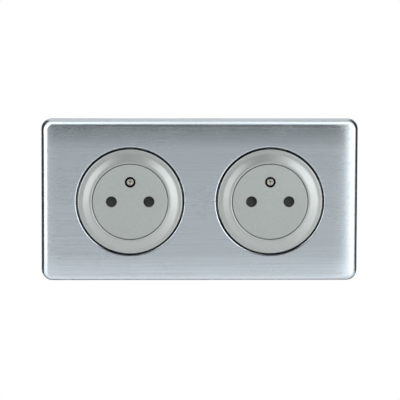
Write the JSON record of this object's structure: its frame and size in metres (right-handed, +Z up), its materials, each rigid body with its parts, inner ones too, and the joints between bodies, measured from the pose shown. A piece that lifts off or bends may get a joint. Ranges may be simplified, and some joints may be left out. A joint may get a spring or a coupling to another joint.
{
  "type": "double wall socket",
  "caption": "Flush wall socket for two plugs side by side, with a brushed metal plate, raised rings, sprung discs that press in, child shutters and fixed earth pins.",
  "frame": {"origin": "centre of the mounting frame's wall side, midway between the sockets", "axes": "+X to the right seen from the front, +Y into the wall, +Z up"},
  "size_m": [0.161, 0.0375, 0.083],
  "materials": {
    "plate_metal": "brushed lengthwise, clear anodised",
    "ring_plastic": "satin metallic grey",
    "disc_plastic": "fine matt metallic grey",
    "shutter_plastic": "matt charcoal",
    "liner_plastic": "moulded, matt",
    "housing_plastic": "moulded, matt",
    "base_plastic": "moulded, matt light grey",
    "frame_steel": "zinc plated sheet",
    "spring_steel": "drawn wire",
    "screw_steel": "zinc plated",
    "contact_brass": "pressed, bright",
    "pin_metal": "nickel plated brass"
  },
  "bodies": {
    "housing": {"plate_skin": "plate_metal", "plate_carrier": "liner_plastic", "mounting_frame": "frame_steel", "left_trim_ring": "ring_plastic", "left_disc_springs": "spring_steel", "left_well_sleeve": "housing_plastic", "left_well_floor": "housing_plastic", "left_rear_base": "base_plastic", "left_neutral_contact": "contact_brass", "left_line_contact": "contact_brass", "left_line_terminal": "contact_brass", "left_neutral_terminal": "contact_brass", "left_earth_terminal": "contact_brass", "left_terminal_screws": "screw_steel", "left_housing_screws": "screw_steel", "left_earth_pin": "pin_metal", "left_earth_strap": "contact_brass", "right_trim_ring": "ring_plastic", "right_disc_springs": "spring_steel", "right_well_sleeve": "housing_plastic", "right_well_floor": "housing_plastic", "right_rear_base": "base_plastic", "right_neutral_contact": "contact_brass", "right_line_contact": "contact_brass", "right_line_terminal": "contact_brass", "right_neutral_terminal": "contact_brass", "right_earth_terminal": "contact_brass", "right_terminal_screws": "screw_steel", "right_housing_screws": "screw_steel", "right_earth_pin": "pin_metal", "right_earth_strap": "contact_brass"},
    "left_disc": {"left_socket_disc": "disc_plastic", "left_shutter_cover": "shutter_plastic", "left_shutter_spring": "spring_steel"},
    "left_shutter_slide": {"left_shutter": "shutter_plastic"},
    "right_disc": {"right_socket_disc": "disc_plastic", "right_shutter_cover": "shutter_plastic", "right_shutter_spring": "spring_steel"},
    "right_shutter_slide": {"right_shutter": "shutter_plastic"}
  },
  "joints": [
    {"name": "left_disc_press", "type": "slide", "parent": "housing", "child": "left_disc", "axis": [0, 1, 0], "range_m": [0, 0.015], "stiffness_N_per_m": 250, "springref_m": -0.008, "deforming": ["left_disc_springs"]},
    {"name": "left_shutter_open", "type": "slide", "parent": "left_disc", "child": "left_shutter_slide", "axis": [0, 0, -1], "range_m": [0, 0.0066], "stiffness_N_per_m": 80, "springref_m": -0.004, "deforming": ["left_shutter_spring"]},
    {"name": "right_disc_press", "type": "slide", "parent": "housing", "child": "right_disc", "axis": [0, 1, 0], "range_m": [0, 0.015], "stiffness_N_per_m": 250, "springref_m": -0.008, "deforming": ["right_disc_springs"]},
    {"name": "right_shutter_open", "type": "slide", "parent": "right_disc", "child": "right_shutter_slide", "axis": [0, 0, -1], "range_m": [0, 0.0066], "stiffness_N_per_m": 80, "springref_m": -0.004, "deforming": ["right_shutter_spring"]}
  ]
}
